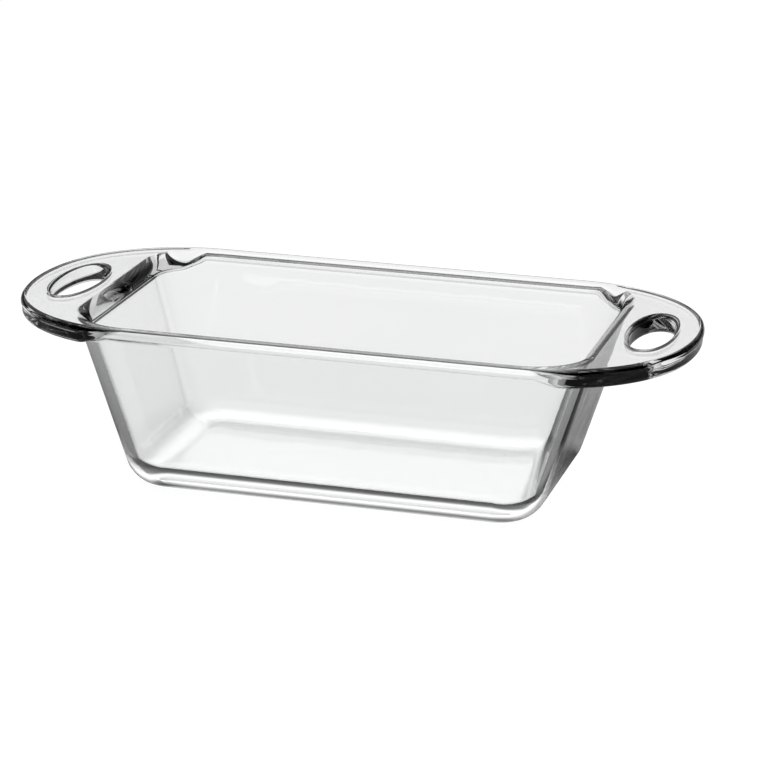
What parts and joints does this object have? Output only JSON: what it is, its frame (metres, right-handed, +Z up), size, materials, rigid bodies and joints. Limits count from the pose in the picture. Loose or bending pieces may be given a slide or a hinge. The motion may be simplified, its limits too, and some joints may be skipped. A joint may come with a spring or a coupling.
{
  "type": "loaf pan",
  "caption": "Clear pressed glass loaf pan: a tapered tub with a flat rounded rim and a rounded handle at each end, pierced by an oval finger hole.",
  "frame": {"origin": "centre of the base, at the level the pan stands on", "axes": "+X along the length towards a handle, +Y across the width, +Z up out of the mouth"},
  "size_m": [0.3, 0.1452, 0.0775],
  "materials": {
    "clear_glass": "clear, colourless, fire-polished pressed glass"
  },
  "bodies": {
    "root": {"glass_pan": "clear_glass"}
  },
  "joints": []
}
